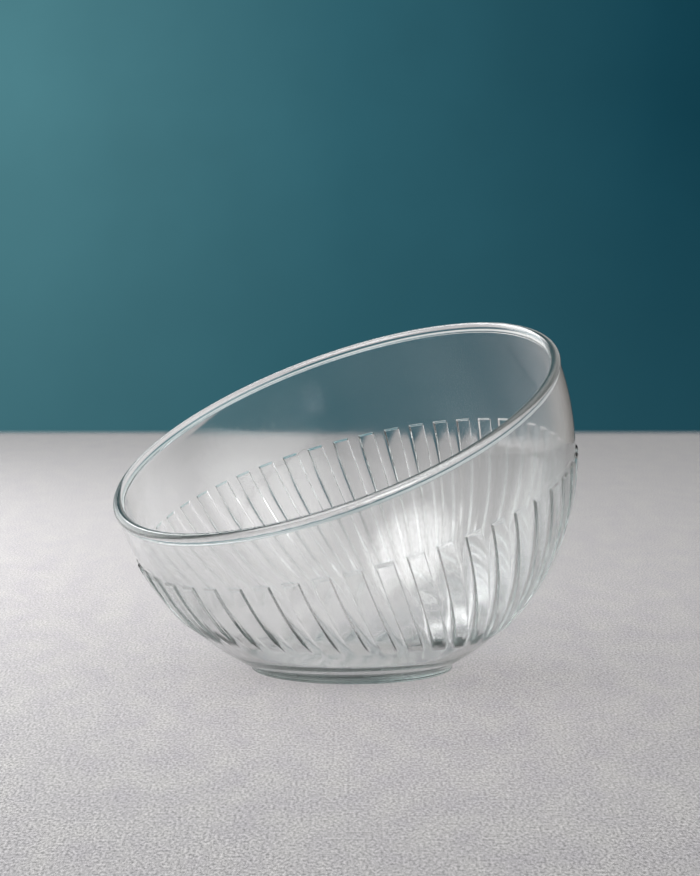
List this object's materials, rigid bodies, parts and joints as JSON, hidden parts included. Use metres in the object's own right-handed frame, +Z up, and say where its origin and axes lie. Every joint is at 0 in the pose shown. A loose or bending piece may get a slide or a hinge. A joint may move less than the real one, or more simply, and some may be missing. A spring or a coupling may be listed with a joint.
{
  "type": "nut bowl",
  "caption": "Slanted clear pressed-glass bowl for nuts and snacks: leaning rounded rim, ring of raised ribs on the outside, smooth inside with a flat bottom, flat round foot.",
  "frame": {"origin": "centre of the foot's flat underside, on the table", "axes": "+Z up; +X towards the high side of the leaning rim; the XZ plane is the plane of symmetry"},
  "size_m": [0.1272, 0.13, 0.0951],
  "materials": {
    "pressed_glass": "fire-polished gloss"
  },
  "bodies": {
    "root": {"glass_bowl": "pressed_glass"}
  },
  "joints": []
}
